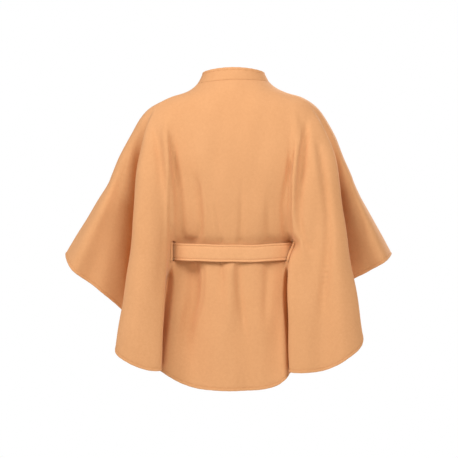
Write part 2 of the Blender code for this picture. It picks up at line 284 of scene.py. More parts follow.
def places(leave, arrive, count, near_start, near_end):
    """Where the net's points go along one span, from 0 to 1, for every curve at once."""
    first = [distance / leave for distance in near_start]
    last = [1 - distance / arrive for distance in reversed(near_end)]
    start = first[-1] if first else 0 * leave
    end = last[0] if last else 1 + 0 * leave
    between = [start + (end - start) * k / count for k in range(1, count)]
    return first + between + last + [1 + 0 * leave]


def smooth_through(points, counts, near):
    """A spline through points along axis 0, and the index where each span begins."""
    chords = np.linalg.norm(np.diff(points, axis=0), axis=-1, keepdims=True)
    spans = np.maximum(chords, SHORTEST_SPAN) ** 0.5
    slopes = np.diff(points, axis=0) / spans
    inner = (slopes[:-1] * spans[1:] + slopes[1:] * spans[:-1]) / (spans[:-1] + spans[1:])
    tangents = np.concatenate([slopes[:1], inner, slopes[-1:]])
    run, starts = [points[0]], [0]
    for i, count in enumerate(counts):
        leave, arrive = spans[i] * tangents[i], spans[i] * tangents[i + 1]
        speeds = [np.linalg.norm(v, axis=-1, keepdims=True) for v in (leave, arrive)]
        for t in places(*speeds, count, *near.get(i, ((), ()))):
            blend = t * t * (3 - 2 * t)
            bend = (t**3 - 2 * t**2 + t) * leave + (t**3 - t**2) * arrive
            run.append((1 - blend) * points[i] + blend * points[i + 1] + bend)
        starts.append(len(run) - 1)
    return np.stack(run), starts


def cells_in(points, cell):
    """How many cells of that size each span along axis 0 takes, by its longest stretch."""
    lengths = np.linalg.norm(np.diff(points, axis=0), axis=-1).max(axis=1)
    return [max(3, math.ceil(length / cell)) for length in lengths]


def surface_normals(points):
    """Unit normals that point out of the cape, from the faces round each point."""
    faces = np.cross(points[1:, :-1] - points[:-1, 1:], points[1:, 1:] - points[:-1, :-1])
    faces /= np.maximum(np.linalg.norm(faces, axis=-1, keepdims=True), SMALLEST)
    total = np.zeros_like(points)
    for down in (slice(None, -1), slice(1, None)):
        for across in (slice(None, -1), slice(1, None)):
            total[down, across] += faces
    return total / np.maximum(np.linalg.norm(total, axis=-1, keepdims=True), SMALLEST)


NAMES = [line[:3] for line in LINES]
COARSE = np.stack([line[3] for line in LINES], axis=1)
ARMS = [NAMES.index(("arm", 1, 1)), NAMES.index(("arm", 1, -1))]
down_counts = cells_in(COARSE, CELL_DOWN)
down_near = {
    0: (COLLAR_ROWS, ()),
    1: ((), SEAM_ROWS),
    2: (SEAM_ROWS, ()),
    len(LEVELS) - 2: ((), HEM_ROWS),
}
down, level_rows = smooth_through(COARSE, down_counts, down_near)
across_counts = cells_in(np.swapaxes(COARSE, 0, 1), CELL_ACROSS)
across_near = {0: (HEM_ROWS, ()), len(LINES) - 2: ((), HEM_ROWS)}
for arm in ARMS:
    across_near[arm - 1] = ((), SEAM_ROWS)
    across_near[arm] = (SEAM_ROWS, ())
turned, line_columns = smooth_through(np.swapaxes(down, 0, 1), across_counts, across_near)
BASE = np.swapaxes(turned, 0, 1)
ROW = dict(zip(LEVELS, level_rows))
COLUMN = dict(zip(NAMES, line_columns))
print("net of", BASE.shape[0], "rows by", BASE.shape[1], "columns")

# %% [markdown]
# ## Creases placed one by one
#
# The big folds are in the lines. The smaller ones are soft troughs and ridges on
# top of them: drag lines from the slits up to the shoulders, pinches where the
# belt gathers the cloth, and a broad sweep below the belt. A sculpted or a
# simulated cloth would have them too, but here a table keeps each one where the
# real cape has it. A row is a height in millimetres, negative for a trough, a
# half width, the lengths over which the crease fades at its top and foot, and a
# route of side and height pairs. No two are alike, as on real cloth.

# %% Crease tables
CREASE_COLUMNS = ("height", "half_width", "fade_top", "fade_foot", "route")
BACK_CREASES = {
    "left_ridge": (5.0, 10, 80, 40, ((170, -63), (158, -166), (148, -268), (143, -375))),
    "left_dent": (
        *(-4.0, 9, 60, 120),
        ((197, -73), (180, -166), (165, -275), (165, -384), (180, -540)),
    ),
    "left_hollow_near": (-7.0, 9, 90, 20, ((156, -88), (141, -190), (127, -287), (122, -392))),
    "left_hollow_far": (-9.0, 9, 70, 30, ((88, -205), (85, -263), (79, -340), (84, -395))),
    "left_hollow_brow": (2.5, 9, 60, 60, ((72, -240), (66, -320), (64, -385))),
    "left_pinch": (-3.0, 4.5, 60, 10, ((44, -282), (34, -340), (25, -400))),
    "left_pinch_low": (-3.0, 5, 10, 60, ((27, -433), (27, -481), (32, -540))),
    "left_sweep": (-14.0, 15, 20, 110, ((96, -438), (93, -501), (106, -574), (124, -680))),
    "left_sweep_edge": (-4.0, 6, 20, 60, ((72, -440), (74, -520), (94, -591))),
    "middle_dent": (-3.6, 8, 80, 10, ((-22, -219), (-24, -299), (-19, -395))),
    "middle_dent_low": (-5.6, 8, 10, 80, ((-14, -438), (-19, -518), (-39, -640))),
    "middle_swell_low": (4.0, 11, 20, 80, ((6, -440), (6, -520), (0, -620))),
    "right_dent": (-3.2, 7, 50, 10, ((-85, -268), (-87, -331), (-90, -395))),
    "right_dent_low": (-4.4, 9, 10, 80, ((-88, -438), (-84, -520), (-78, -610))),
    "right_valley": (-5.0, 6, 90, 5, ((-163, -102), (-143, -190), (-126, -287), (-127, -394))),
    "right_ridge": (5.0, 8, 60, 50, ((-170, -88), (-155, -190), (-142, -287), (-144, -355))),
    "right_drag": (
        *(-7.0, 8, 70, 50),
        ((-187, -68), (-172, -190), (-163, -299), (-172, -379), (-203, -428)),
    ),
    "right_band": (
        *(-9.0, 11, 80, 110),
        ((-204, -117), (-223, -226), (-233, -340), (-227, -438), (-211, -600)),
    ),
    "left_wing_drag": (-2.4, 14, 70, 70, ((262, -190), (300, -300), (330, -400))),
    "left_wing_swell": (2.0, 16, 60, 60, ((252, -240), (275, -350), (290, -450))),
    "right_wing_drag": (-2.2, 13, 60, 60, ((-272, -210), (-310, -310), (-335, -400))),
    "left_shoulder_dent": (-1.6, 9, 30, 40, ((196, -72), (204, -110), (208, -150))),
    "nape_soft": (-0.8, 16, 20, 20, ((-60, -40), (0, -48), (62, -42))),
}
FRONT_CREASES = {
    "left_valley": (-4.5, 9, 80, 20, ((150, -110), (136, -210), (124, -300), (120, -392))),
    "left_ridge": (4.5, 9, 70, 40, ((172, -100), (160, -200), (150, -290), (146, -370))),
    "left_band": (-3.5, 10, 70, 100, ((196, -110), (190, -230), (182, -350), (190, -520))),
    "left_pinch": (-2.2, 6, 60, 10, ((86, -260), (80, -330), (74, -396))),
    "left_pinch_low": (-2.4, 8, 10, 80, ((82, -438), (90, -510), (98, -600))),
    "right_valley": (-4.8, 8, 80, 20, ((-152, -104), (-138, -200), (-123, -300), (-121, -392))),
    "right_ridge": (4.2, 9, 70, 40, ((-174, -98), (-162, -196), (-151, -286), (-147, -368))),
    "right_band": (-3.2, 11, 70, 100, ((-200, -112), (-196, -236), (-186, -346), (-194, -510))),
    "right_pinch": (-2.0, 6, 50, 10, ((-78, -276), (-84, -340), (-80, -396))),
    "right_pinch_low": (-2.6, 9, 10, 80, ((-84, -438), (-88, -520), (-104, -610))),
    "right_wing_drag": (-2.2, 13, 60, 60, ((-264, -200), (-296, -300), (-318, -390))),
    "left_wing_drag": (-2.4, 12, 60, 60, ((268, -210), (298, -300), (326, -396))),
}
FADE_SAMPLES = 48
print(len(BACK_CREASES), "creases on the back,", len(FRONT_CREASES), "on the fronts")

# %% [markdown]
# ## How a crease moves the cloth
#
# A crease pushes the cloth in or out along its normal. It is deepest on its
# route, dies out to both sides in a bell curve, and eases in and out along its
# length. The nearest point of the route gives each point of the net both its
# distance and its place along the crease.

# %% The push of the creases


def eased(x):
    """A smooth step from 0 to 1."""
    x = np.clip(x, 0.0, 1.0)
    return x * x * (3 - 2 * x)


def route_samples(route):
    """Points along a smooth route, with the length walked to each of them."""
    points = np.array(route, float) * MM
    spread = [FADE_SAMPLES // (len(route) - 1)] * (len(route) - 1)
    samples, _ = smooth_through(points[:, None, :], spread, {})
    samples = samples[:, 0, :]
    steps = np.linalg.norm(np.diff(samples, axis=0), axis=1)
    return samples, np.concatenate([[0.0], np.cumsum(steps)])


def creased(flat, creases):
    """How far the creases move each point of the net along its normal."""
    moved = np.zeros(len(flat))
    for row in table(creases, CREASE_COLUMNS).values():
        samples, walked = route_samples(row["route"])
        distances = np.linalg.norm(flat[:, None, :] - samples[None], axis=2)
        nearest = distances.argmin(axis=1)
        away = distances[np.arange(len(flat)), nearest] / (row["half_width"] * MM)
        along = walked[nearest]
        fade = eased(along / (row["fade_top"] * MM))
        fade *= eased((walked[-1] - along) / (row["fade_foot"] * MM))
        moved += row["height"] * MM * np.exp(-(away**2)) * fade
    return moved


# %% [markdown]
# ## Slots and gullies
#
# Below the slits the photographed cape folds in sharply on both sides of the
# back panel: two narrow slots, so deep that they are nearly black. Two wide
# gullies part the wings from the body, and the wings swell out again beside
# them. These forms are too steep for a crease, so the net itself is moved. A row
# names the line that the form follows, its hand, how far it goes in and sideways
# and its half width, in millimetres, and the heights at which it starts, is full,
# begins to fade and ends. A negative number inward is a swell.

# %% Sink the slots and gullies
SINK_COLUMNS = "line hand inward sideways half_width starts full fades ends".split()
SINKS = {
    "left_slot": ("slit_out", 1, 28, 9, 6.5, -436, -486, -745, -800),
    "right_slot": ("slit_out", -1, 28, 8, 5.5, -438, -480, -745, -800),
    "left_gully": ("gully", 1, 20, 0, 22, -110, -220, -470, -600),
    "right_gully": ("gully", -1, 18, 0, 20, -130, -220, -420, -520),
    "left_cuff": ("cuff", 1, -20, 0, 38, -200, -330, -640, -700),
    "right_cuff": ("cuff", -1, -30, 0, 40, -190, -320, -640, -700),
}


def walked_along(points, axis):
    """The length along the cloth from the first row or column of the net."""
    steps = np.linalg.norm(np.diff(points, axis=axis), axis=-1)
    padding = [(0, 0), (0, 0)]
    padding[axis] = (1, 0)
    return np.cumsum(np.pad(steps, padding), axis=axis)


def sunk(points):
    """The net with the slots and gullies of the back drawn in, and the wings swollen out."""
    walked = walked_along(points, 1)
    moved = points.copy()
    for row in table(SINKS, SINK_COLUMNS).values():
        column = COLUMN[row["line"], 1, row["hand"]]
        away = (walked - walked[:, column : column + 1]) / (row["half_width"] * MM)
        height = points[:, column, 2] / MM
        fade = eased((row["starts"] - height) / (row["starts"] - row["full"]))
        fade *= eased((height - row["ends"]) / (row["fades"] - row["ends"]))
        share = np.exp(-(away**2)) * fade[:, None]
        way = np.array([row["hand"] * row["sideways"], -row["inward"], 0.0]) * MM
        moved += share[..., None] * way
    return moved


SUNK = sunk(BASE)
print("deepest sink:", round(float(np.linalg.norm(SUNK - BASE, axis=2).max()) / MM, 1), "mm")

# %% [markdown]
# ## What holds the cloth still
#
# Close to a slit the creases die out, because the stitched edging keeps the
# cloth there in shape. Under the belt the cloth is pressed flat, and it swells
# out again above and below it. The belt is a squarish oval seen from above, so
# its formula says how far out the cloth may be, without any test for touching. A
# slow sway of under a millimetre keeps the open surfaces from looking machined.
# Each part of it has a height, its pace to the side and upwards, and a start.

# %% Press and still the net
STILL_NEAR, STILL_FAR = 0.012, 0.034
LIPS_AT = SLIT_AT + 0.004
PRESS_MARGIN = 0.0005
PRESS_SLOPE = 0.45
BELT_SIDE_LIMIT, BELT_TURN_LIMIT = 0.97, 0.2
SWAY = ((0.0007, 61.0, 23.0, 0.4), (0.0006, -37.0, 47.0, 1.9), (0.0004, 118.0, 17.0, 3.1))


def belt_limit(side, deep):
    """How far out the belt's inner face is at that distance to the side."""
    share = np.clip(np.abs(side) / BELT_HALF_WIDTH, 0.0, BELT_SIDE_LIMIT)
    middle = deep * (1 - share**BELT_SQUARENESS) ** (1 / BELT_SQUARENESS)
    turn = share / np.maximum(middle / deep, BELT_TURN_LIMIT)
    slant = np.sqrt(1 + turn ** (2 * (BELT_SQUARENESS - 1)))
    return middle - (BELT_CLOTH / 2 + PRESS_MARGIN) * slant


def pressed(points, first, last, facing, deep):
    """The net with its columns from first to last kept inside the belt."""
    part = points[:, first : last + 1]
    heights = BELT_Z + BELT_RISE * np.minimum(1.0, (part[..., 0] / SLIT_AT) ** 2)
    beyond = np.maximum(0.0, np.abs(part[..., 2] - heights) - BELT_WIDTH / 2)
    limit = belt_limit(part[..., 0], deep) + PRESS_SLOPE * beyond
    part[..., 1] = facing * np.minimum(facing * part[..., 1], limit)


def still_near_slits(points):
    """0 beside a slit's lips, 1 well away from them."""
    tall = np.maximum(0.0, np.abs(points[..., 2] - BELT_Z) - SLIT_LENGTH / 2)
    wide = np.abs(np.abs(points[..., 0]) - LIPS_AT)
    return eased((np.hypot(tall, wide) - STILL_NEAR) / (STILL_FAR - STILL_NEAR))


def moved_net():
    """The fine net with its creases, its slow unevenness and the belt's pressing."""
    points = SUNK.copy()
    lift = np.zeros(points.shape[:2])
    flat = points[..., [0, 2]]
    back = slice(COLUMN["arm", 1, 1], COLUMN["arm", 1, -1] + 1)
    left_front, right_front = slice(0, back.start), slice(back.stop, None)
    halves = ((back, BACK_CREASES), (left_front, FRONT_CREASES), (right_front, FRONT_CREASES))
    for columns, creases in halves:
        part = flat[:, columns]
        lift[:, columns] = creased(part.reshape(-1, 2), creases).reshape(part.shape[:2])
    for size, per_side, per_height, phase in SWAY:
        lift += size * np.sin(flat[..., 0] * per_side + flat[..., 1] * per_height + phase)
    lift *= still_near_slits(points)
    below_seam = np.arange(points.shape[0]) - ROW["neck_seam"]
    lift *= eased(below_seam / (ROW["neck_base"] - ROW["neck_seam"]))[:, None]
    points += lift[..., None] * surface_normals(points)
    pressed(points, COLUMN["slit_in", 1, 1], COLUMN["slit_in", 1, -1], 1, BELT_BACK)
    pressed(points, 0, COLUMN["slit_in", -1, 1], -1, BELT_FRONT - LAP_LIFT)
    pressed(points, COLUMN["slit_in", -1, -1], points.shape[1] - 1, -1, BELT_FRONT)
    return points


NET = moved_net()
NORMALS = surface_normals(NET)
print("largest move:", round(float(np.linalg.norm(NET - BASE, axis=2).max()) / MM, 1), "mm")

# %% [markdown]
# ## Stitched edges and seams in relief
#
# A turned and topstitched edge has a soft roll, a groove where the thread pulls
# the layers together, and small puckers along it. A plain seam is a narrow
# valley. A bump in the material could fake both, but real form also shows in the
# outline. The relief is worked out from the distance along the cloth to the edge
# or the seam, and only the outer skin takes it.

# %% Relief of edges and seams
GROOVE_DEEP, GROOVE_WIDE = 0.00055, 0.0014
SEAM_DEEP, SEAM_WIDE = 0.0005, 0.0018
ROLL_HIGH, ROLL_AT, ROLL_WIDE = 0.0003, 0.0026, 0.0018
PUCKER_HIGH, PUCKER_REACH, PUCKER_LENGTH = 0.00025, 0.012, 0.019
PUCKER_STRAY, PUCKER_STRAY_PACE = 1.7, 23
DOWN_THE_CLOTH = walked_along(NET, 0)
ACROSS_THE_CLOTH = walked_along(NET, 1)


def bell(distance, width):
    """A soft bump or groove across a distance."""
    return np.exp(-((distance / width) ** 2))


def stitched_relief(distance, along):
    """Relief of a turned, topstitched edge at that distance from the edge."""
    stray = PUCKER_STRAY * np.sin(along * PUCKER_STRAY_PACE)
    pucker = PUCKER_HIGH * np.sin(2 * np.pi * along / PUCKER_LENGTH + stray)
    return (
        ROLL_HIGH * bell(distance - ROLL_AT, ROLL_WIDE)
        - GROOVE_DEEP * bell(distance - STITCH_IN, GROOVE_WIDE)
        + pucker * np.exp(-distance / PUCKER_REACH)
    )


def seam_relief(distance):
    """Relief of a plain seam at that distance from it."""
    return -SEAM_DEEP * bell(distance, SEAM_WIDE)


def relief():
    """The relief of every edge and seam over the whole net."""
    from_hem = DOWN_THE_CLOTH[-1] - DOWN_THE_CLOTH
    from_neck = DOWN_THE_CLOTH - DOWN_THE_CLOTH[ROW["neck_seam"]]
    from_right_edge = ACROSS_THE_CLOTH[:, -1:] - ACROSS_THE_CLOTH
    total = seam_relief(from_neck)
    for distance in (from_hem, DOWN_THE_CLOTH):
        total += stitched_relief(distance, ACROSS_THE_CLOTH)
    for distance in (ACROSS_THE_CLOTH, from_right_edge):
        total += stitched_relief(distance, DOWN_THE_CLOTH)
    below_neck = (np.arange(NET.shape[0]) >= ROW["neck_seam"])[:, None]
    for hand in (1, -1):
        column = COLUMN["arm", 1, hand]
        from_seam = ACROSS_THE_CLOTH - ACROSS_THE_CLOTH[:, column : column + 1]
        total += seam_relief(from_seam) * below_neck
    return total


RELIEF = relief()
OUTER = NET + RELIEF[..., None] * NORMALS
INNER = NET - CLOTH * NORMALS
print("relief from", round(RELIEF.min() / MM, 2), "to", round(RELIEF.max() / MM, 2), "mm")

# %% [markdown]
# ## Shader maths in plain words
#
# A wool finish mixes several noises. Wired by hand in the shader editor, or
# written node by node, that would be a long list. So a small class wraps one
# socket and lets it take part in ordinary arithmetic: every operator adds the
# Math node that it stands for.

# %% A socket that can be added and multiplied
# The Mix node has sockets of the same name for each kind of data, so they go by number.
MIX_FACTOR, MIX_FIRST, MIX_SECOND, MIX_COLOUR = 0, 6, 7, 2


class Wire:
    """One output socket of a material, which takes part in ordinary arithmetic."""

    def __init__(self, tree, socket=None):
        self.tree, self.socket = tree, socket

    def node(self, kind, settings, sockets, output=0):
        """The output of a new node, with its settings and its sockets' values or links."""
        made = self.tree.nodes.new(kind)
        for key, value in settings.items():
            if key == "stops":
                set_stops(made.color_ramp, value)
            else:
                setattr(made, key, value)
        for key, value in sockets.items():
            if isinstance(value, Wire):
                self.tree.links.new(value.socket, made.inputs[key])
            else:
                made.inputs[key].default_value = value
        return Wire(self.tree, made.outputs[output])

    def maths(self, operation, first, second):
        """A number worked out from two others."""
        return self.node("ShaderNodeMath", {"operation": operation}, {0: first, 1: second})

    def __add__(self, other):
        return self.maths("ADD", self, other)

    def __sub__(self, other):
        return self.maths("SUBTRACT", self, other)

    def __rsub__(self, other):
        return self.maths("SUBTRACT", other, self)

    def __mul__(self, other):
        return self.maths("MULTIPLY", self, other)

    __radd__ = __add__
    __rmul__ = __mul__

    def between(self, first, second):
        """A colour mixed from two others by this number."""
        sockets = {MIX_FACTOR: self, MIX_FIRST: first, MIX_SECOND: second}
        return self.node("ShaderNodeMix", {"data_type": "RGBA"}, sockets, output=MIX_COLOUR)


def set_stops(ramp, stops):
    """Gives a colour ramp these (place, grey level) stops."""
    for element, (place, level) in zip(ramp.elements, stops):
        element.position = place
        element.color = (level, level, level, 1.0)


# %% [markdown]
# ## The wool
#
# Melton wool is fulled until the weave disappears under a dense short nap. Up
# close it is a mat of fibres with small clumps, and from a step away it shows a
# faint mottle, because fibres of several dyes are spun together. Loose fibre
# ends catch light at grazing angles, which is the sheen. Nothing in it is
# glossy, so roughness stays high. An image would repeat and blur close up, so
# all of it is noise. Its coordinates come from the object, in metres, so the
# nap has one scale on every piece. A noise is given as scale, detail, roughness
# and distortion. The grooves of the stitching and the seams carry a mark, and
# there the colour is darkened, as painted shade in the grooves.

# %% Make the wool
FIBRES, CLUMPS = (1900.0, 3.0, 0.7, 0.6), (620.0, 2.0, 0.6, 0.0)
MOTTLE, CLOUD = (170.0, 3.0, 0.55, 0.0), (9.0, 2.0, 0.5, 0.0)
TONE_SHARES = (0.34, 0.26, 0.22, 0.18)
NAP_SHARES = (0.55, 0.3, 0.5)
DULLNESS_SPREAD = 0.1
SHEEN_WEIGHT, SHEEN_ROUGHNESS, SHEEN_TINT = 0.22, 0.5, (1.0, 0.78, 0.58, 1.0)
SPECULAR_LEVEL = 0.25
CONTRAST = ((0.36, 0.0), (0.64, 1.0))
# The mesh attribute that marks the grooves, and how much of the painted shade in them shows.
GROOVE_SHADE_MARK = "pressed"
GROOVE_SHADE_SHARE = 0.55
NAP_STRENGTH, NAP_HIGH = 0.55, 0.0007


def blended(wires, shares):
    """The sum of several noises, each with its share."""
    total = shares[0] * wires[0]
    for wire, share in zip(wires[1:], shares[1:]):
        total = total + share * wire
    return total


def wool(name, light, dark, groove_shade_tone, rough=0.9):
    """A felted wool between a light and a dark fibre colour, with a darker third one painted as
    shade in its grooves.
    """
    material = bpy.data.materials.new(name)
    material.use_nodes = True
    tree = material.node_tree
    shader = tree.nodes["Principled BSDF"]
    wire = Wire(tree)
    place = wire.node("ShaderNodeTexCoord", {}, {}, output="Object")

    def noise(scale, detail, roughness, distortion):
        sockets = {
            "Vector": place,
            "Scale": scale,
            "Detail": detail,
            "Roughness": roughness,
            "Distortion": distortion,
        }
        return wire.node("ShaderNodeTexNoise", {"noise_dimensions": "3D"}, sockets)

    fibres, clumps, mottle, cloud = [noise(*row) for row in (FIBRES, CLUMPS, MOTTLE, CLOUD)]
    groove_shade = wire.node("ShaderNodeAttribute", {"attribute_name": GROOVE_SHADE_MARK}, {}, output="Fac")
    tone = blended((mottle, clumps, cloud, fibres), TONE_SHARES)
    tone = wire.node("ShaderNodeValToRGB", {"stops": CONTRAST}, {"Fac": tone})
    colour = tone.between(dark, light)
    # Painted shade: the colour is darkened towards the third tone where the grooves are marked.
    colour = (groove_shade * GROOVE_SHADE_SHARE).between(colour, groove_shade_tone)
    tree.links.new(colour.socket, shader.inputs["Base Color"])
    dullness = rough + DULLNESS_SPREAD * (clumps - 0.5)
    tree.links.new(dullness.socket, shader.inputs["Roughness"])
    nap = blended((clumps, fibres, mottle), NAP_SHARES)
    bump = {"Strength": NAP_STRENGTH, "Distance": NAP_HIGH, "Height": nap}
    raised = wire.node("ShaderNodeBump", {}, bump)
    tree.links.new(raised.socket, shader.inputs["Normal"])
    shader.inputs["Sheen Weight"].default_value = SHEEN_WEIGHT
    shader.inputs["Sheen Roughness"].default_value = SHEEN_ROUGHNESS
    shader.inputs["Sheen Tint"].default_value = SHEEN_TINT
    shader.inputs["Specular IOR Level"].default_value = SPECULAR_LEVEL
    return material


# The third colour of each wool is the painted shade of its grooves.
CAPE_WOOL = wool(
    "cape_wool", (0.70, 0.353, 0.158, 1), (0.64, 0.309, 0.129, 1), (0.59, 0.272, 0.109, 1)
)
# The belt is the same wool as the cape, painted lighter: painted light, for the brighter look of
# the belt where it stands out over the back.
BELT_LIT_WOOL = wool(
    "belt_wool", (0.78, 0.402, 0.186, 1), (0.71, 0.352, 0.154, 1), (0.64, 0.304, 0.127, 1)
)
THREAD_DARK = (0.58, 0.262, 0.102, 1)
THREAD = wool("thread", (0.66, 0.310, 0.130, 1), THREAD_DARK, THREAD_DARK, rough=0.7)
print("finishes:", [m.name for m in (CAPE_WOOL, BELT_LIT_WOOL, THREAD)])

# %% [markdown]
# ## Cutting the panels
#
# A panel is a block of the net. Blender's Solidify modifier could thicken it,
# but it can't round one edge and leave the next one flat. So two skins 2.5 mm
# apart and a rim between them make a closed cloth here. First come two helpers,
# which find a panel's free edges and the way that leads off them.

# %% Edges of a panel


def outward_at_edges(points, normals, edges):
    """For each point on an edge, the direction in the cloth that leads off its edge."""
    out = {}
    for a, b in edges:
        step = points[b] - points[a]
        away = np.cross(step, normals[a] + normals[b])
        away /= max(np.linalg.norm(away), SMALLEST)
        for corner in (a, b):
            out[corner] = out.get(corner, 0) + away
    return {corner: v / max(np.linalg.norm(v), SMALLEST) for corner, v in out.items()}


def free_edges(faces):
    """The edges that only one face has, in that face's direction."""
    seen = {}
    for face in faces:
        for a, b in zip(face, face[1:] + face[:1]):
            if (b, a) in seen:
                del seen[b, a]
            else:
                seen[a, b] = True
    return list(seen)


# %% [markdown]
# ## Closing the cloth
#
# The rim is rounded where the edge is free, as a turned edge is, and flat where
# a seam joins the next panel. Three more points across the rim are enough for
# that. The mesh is shaded smooth, because cloth has no hard edges.

# %% Panel maker
RIM_TURNS = (45, 0, -45)


def cloth_wall(name, outer, inner, material, rounding, gone=()):
    """A closed cloth between two skins of rows by columns of points."""
    rows, columns = outer.shape[:2]
    count = rows * columns
    faces = [
        (r * columns + c, (r + 1) * columns + c, (r + 1) * columns + c + 1, r * columns + c + 1)
        for r in range(rows - 1)
        for c in range(columns - 1)
        if (r, c) not in gone
    ]
    edges = free_edges(faces)
    skin, lining = outer.reshape(-1, 3), inner.reshape(-1, 3)
    through = skin - lining
    away = outward_at_edges(skin, through, edges)
    points = [skin, lining]
    rims, total = {}, 2 * count
    for corner, direction in away.items():
        middle, half = (skin[corner] + lining[corner]) / 2, through[corner] / 2
        reach = rounding.flat[corner] * np.linalg.norm(half)
        turns = [math.radians(turn) for turn in RIM_TURNS]
        points.append(
            [middle + math.sin(t) * half + math.cos(t) * reach * direction for t in turns]
        )
        rims[corner] = [corner, *range(total, total + len(turns)), corner + count]
        total += len(turns)
    every = faces + [tuple(count + corner for corner in face[::-1]) for face in faces]
    for a, b in edges:
        for k in range(len(RIM_TURNS) + 1):
            every.append((rims[b][k], rims[a][k], rims[a][k + 1], rims[b][k + 1]))
    return made_piece(name, np.concatenate(points), every, material)


def in_scene(name, data):
    """A new object with that data, linked to the scene."""
    made = bpy.data.objects.new(name, data)
    bpy.context.scene.collection.objects.link(made)
    return made


def made_piece(name, points, faces, material):
    """A smooth-shaded object from points and faces, without any unused point."""
    used = np.unique(np.concatenate([np.array(face) for face in faces]))
    renumber = np.full(len(points), -1)
    renumber[used] = np.arange(len(used))
    corners = [tuple(renumber[list(face)].tolist()) for face in faces]
    mesh = bpy.data.meshes.new(name)
    mesh.from_pydata(points[used].tolist(), [], corners)
    mesh.validate()
    mesh.shade_smooth()
    mesh.materials.append(material)
    return in_scene(name, mesh)


def groove_shade_marks(piece, source, marks):
    """Gives the points of a piece's outer skin the net's marks, for the painted shade in the
    grooves.
    """
    values = np.zeros(len(piece.data.vertices), np.float32)
    lookup = {tuple(np.round(p, 6)): m for p, m in zip(source.reshape(-1, 3), marks.ravel())}
    for vertex in piece.data.vertices:
        values[vertex.index] = lookup.get(tuple(np.round(np.array(vertex.co), 6)), 0.0)
    piece.data.attributes.new(GROOVE_SHADE_MARK, "FLOAT", "POINT").data.foreach_set("value", values)


# %% [markdown]
# ## The four big pieces
#
# A tailor cuts a back, two fronts and a collar. The same four are cut from the
# net here, between the rows and columns where the seams run, and a slit is a
# block of cells that is left out. The seams are 0.3 mm open, as in the
# construction model, so each panel's seam edge is pulled in by half of that.

# %% Back, fronts and collar
LIP_ROUND = 0.35


def pulled_in(points, axis, ends):
    """The points with the named ends of an axis pulled in by half the seam's gap."""
    points = np.swapaxes(points.copy(), 0, axis)
    for end, neighbour in ((0, 1), (-1, -2)):
        if end in ends:
            step = points[neighbour] - points[end]
            points[end] += step / np.linalg.norm(step, axis=-1, keepdims=True) * SEAM_GAP / 2
    return np.swapaxes(points, 0, axis)


def slit_cells(facing, hand):
    """The cells of the net that a belt slit leaves open."""
    first, last = sorted(COLUMN[name, facing, hand] for name in ("slit_in", "slit_out"))
    rows = range(ROW["slit_top"], ROW["slit_foot"])
    return {(r, c) for r in rows for c in range(first, last)}


def panel(name, rows, columns, side_seams, top_seams, gone=()):
    """One piece of the cape, cut from the net between two rows and two columns."""
    (top, foot), (first, last) = rows, columns
    block = (slice(top, foot + 1), slice(first, last + 1))
    skins = [
        pulled_in(pulled_in(skin[block], 1, side_seams), 0, top_seams) for skin in (OUTER, INNER)
    ]
    rounding = np.full(skins[0].shape[:2], LIP_ROUND)
    rounding[-1 if top_seams != (-1,) else 0] = 1.0
    for side in (0, -1):
        rounding[:, side] = 0.0 if side in side_seams else 1.0
    for end in top_seams:
        rounding[end] = 0.0
    local = {(r - top, c - first) for r, c in gone}
    piece = cloth_wall(name, *skins, CAPE_WOOL, rounding, local)
    # The depth of each groove sets how much painted shade it gets.
    marks = np.clip(-RELIEF[block] / GROOVE_DEEP, 0.0, 1.0)
    groove_shade_marks(piece, skins[0], marks)
    return piece


LEFT_ARM, RIGHT_ARM = COLUMN["arm", 1, 1], COLUMN["arm", 1, -1]
LAST = NET.shape[1] - 1
NECK, HEM = ROW["neck_seam"], ROW["hem"]
BODY_ROWS = (NECK, HEM)
back_slits = slit_cells(1, 1) | slit_cells(1, -1)
back = panel("back_cloth", BODY_ROWS, (LEFT_ARM, RIGHT_ARM), (0, -1), (0,), back_slits)
left_columns, right_columns = (0, LEFT_ARM), (RIGHT_ARM, LAST)
front_left = panel("front_left_cloth", BODY_ROWS, left_columns, (-1,), (0,), slit_cells(-1, 1))
front_right = panel("front_right_cloth", BODY_ROWS, right_columns, (0,), (0,), slit_cells(-1, -1))
collar = panel("collar_cloth", (0, NECK), (0, LAST), (), (-1,))
for piece in (back, front_left, front_right, collar):
    print(piece.name, len(piece.data.polygons), "faces")

# %% [markdown]
# ## The belt
#
# The belt is two layers of the same wool, turned and topstitched along both
# edges. It is a loft: one rounded cross-section with two pinched grooves is
# carried along the route. Behind, it lies outside the back. It dives through the
# back slits, passes inside round the sides, comes out of the front slits and
# laps over itself at the centre front.

# %% Belt route and section
ROUTE_STEPS, BELT_STEP = 1680, 0.0032
BELT_STITCH_IN = 0.0056
BELT_GROOVE_DEEP, BELT_GROOVE_WIDE = 0.0011, 0.0018
BELT_EDGE_ROWS = (0.0, 0.05, 0.12, 0.3, 0.9, 1.9, 3.0, 4.0, 4.9, 5.6, 6.3, 7.2, 8.6)
BELT_FLAT_ROWS = (12.0, 16.5, 21.0)
BELT_EDGE_ROUND = 0.001
BELT_WAVER = ((0.0005, 31.0, 0.3), (0.0004, 74.0, 2.1))


